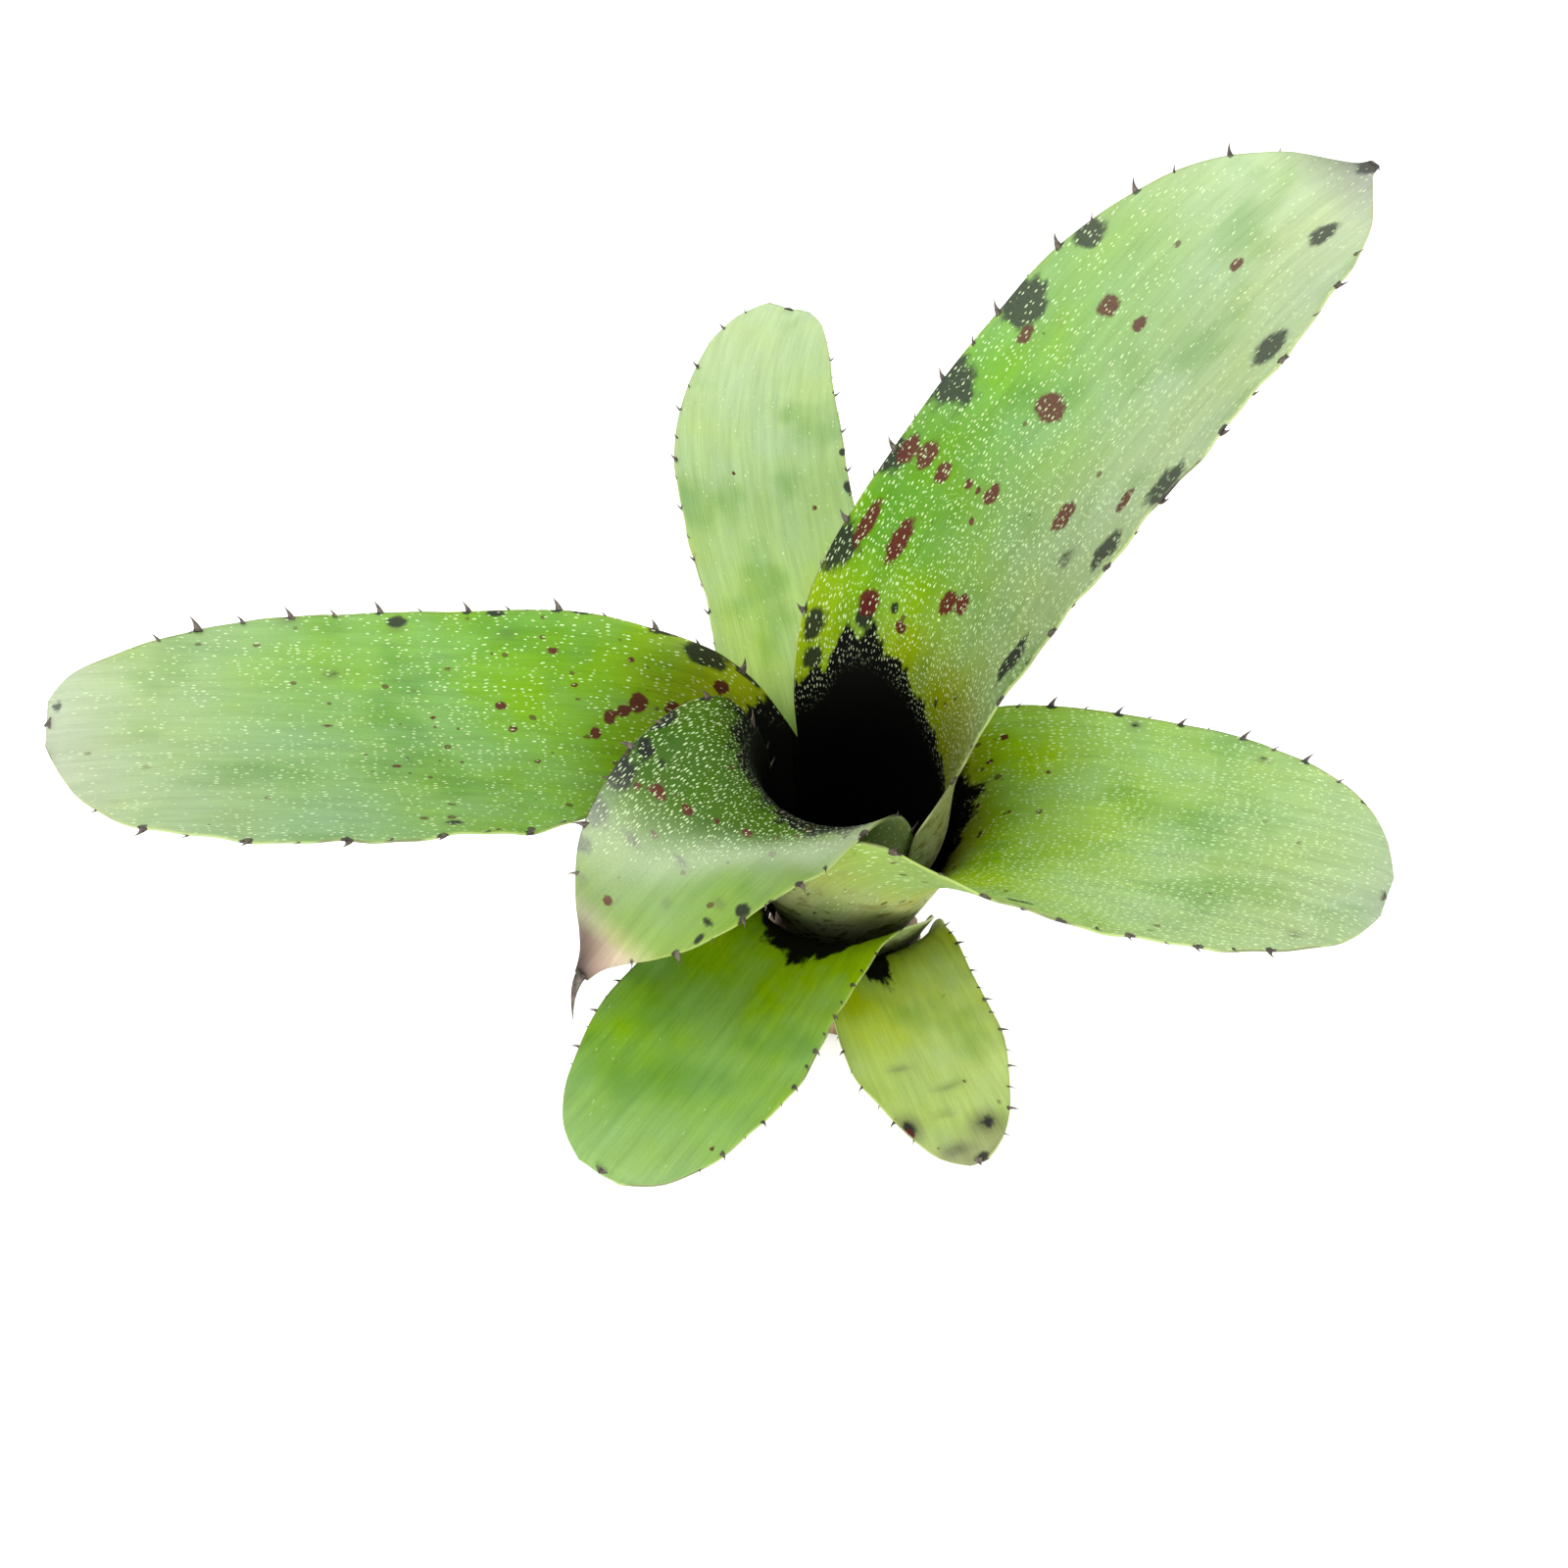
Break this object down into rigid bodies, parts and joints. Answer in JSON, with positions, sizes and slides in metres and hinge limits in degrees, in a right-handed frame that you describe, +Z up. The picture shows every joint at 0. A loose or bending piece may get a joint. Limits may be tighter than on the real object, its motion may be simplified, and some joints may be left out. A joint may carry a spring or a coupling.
{
  "type": "bromeliad rosette",
  "caption": "Open tank bromeliad rosette with broad toothed strap leaves whose nested sheaths form a dark cup, cut at the base of its short stem.",
  "frame": {"origin": "Centre of the flat cut at the base of the stem, which the plant rests on.", "axes": "+Z runs up the plant axis out of the cup, +X is the viewer's right in the picture and +Y runs away from the viewer towards the pale back leaf."},
  "size_m": [0.2261, 0.2118, 0.1654],
  "materials": {
    "leaf_young": "smooth waxy green leaf with pale scales",
    "leaf_old": "thinner, paler green leaf",
    "stem_bark": "matt brown stem with leaf scars"
  },
  "bodies": {
    "root": {"stem": "stem_bark", "leaf_long": "leaf_young", "leaf_left": "leaf_young", "leaf_front": "leaf_young", "leaf_right": "leaf_young", "leaf_low_left": "leaf_old", "leaf_low_right": "leaf_old", "leaf_back": "leaf_old"}
  },
  "joints": []
}
